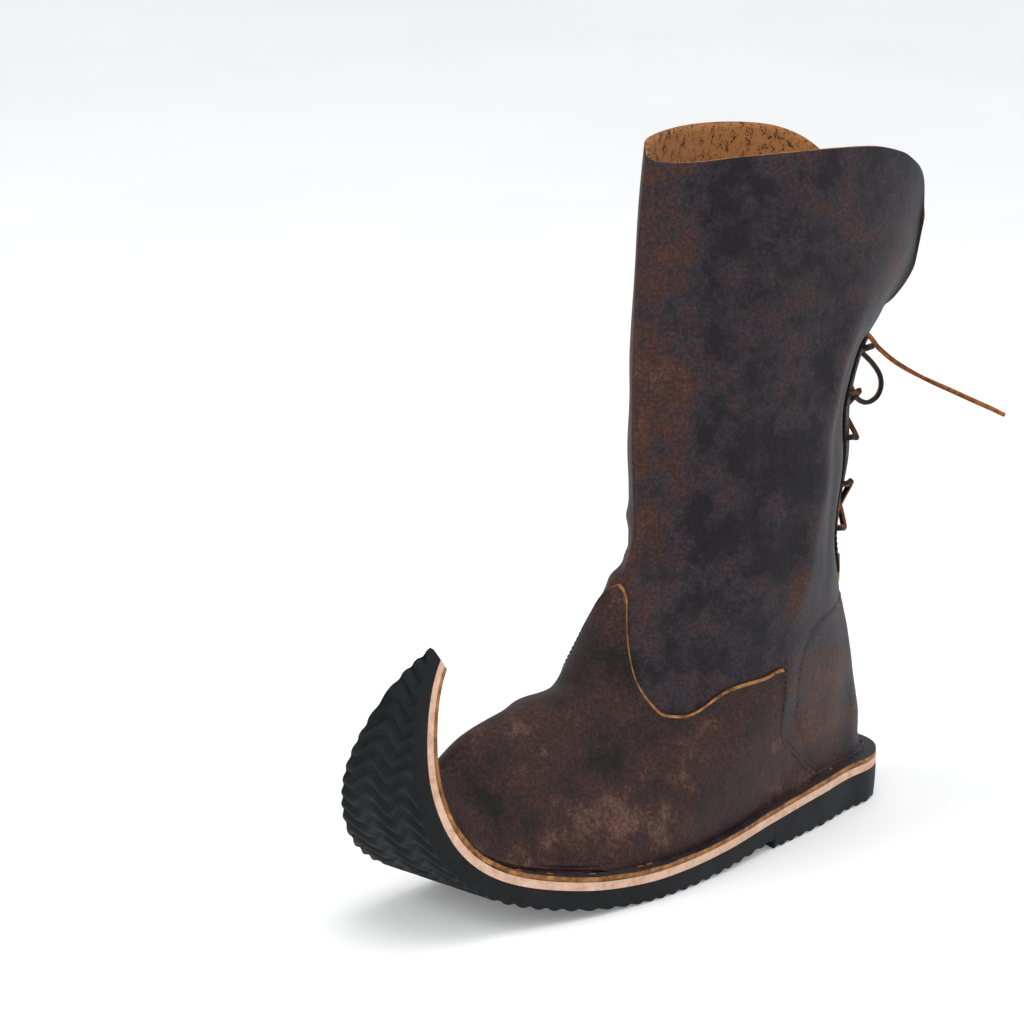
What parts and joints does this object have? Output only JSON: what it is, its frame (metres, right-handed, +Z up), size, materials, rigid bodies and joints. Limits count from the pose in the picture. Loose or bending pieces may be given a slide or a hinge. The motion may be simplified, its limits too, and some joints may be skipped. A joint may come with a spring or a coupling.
{
  "type": "poulaine boot",
  "caption": "Calf-high left boot in dark leather, with a long pointed toe that turns up and back, a stitched-down rubber sole with a low heel, and lacing up the back.",
  "frame": {"origin": "middle of the bottom of the boot's bounding box without the free lace, on the floor that the sole stands on", "axes": "+Z up the shaft, -Y towards the toe, +X towards the lateral side"},
  "size_m": [0.0987, 0.439, 0.347],
  "materials": {
    "outsole": "matte moulded black rubber",
    "midsole": "natural undyed cut edge",
    "insole": "natural, smooth",
    "upper": "waxed dark brown, slightly scuffed",
    "vamp": "waxed dark brown, slightly scuffed",
    "lace": "cut leather thong"
  },
  "bodies": {
    "root": {"outsole": "outsole", "midsole": "midsole", "insole": "insole", "upper": "upper", "vamp": "vamp", "counter_lateral": "upper", "counter_medial": "upper", "back_seam": "upper", "facing_lateral": "upper", "facing_medial": "upper", "lace_bar": "lace", "lace_cross_1": "lace", "lace_cross_2": "lace", "lace_cross_3": "lace", "lace_cross_4": "lace", "lace_knot": "lace", "lace_loop": "lace", "lace_end": "lace"}
  },
  "joints": []
}
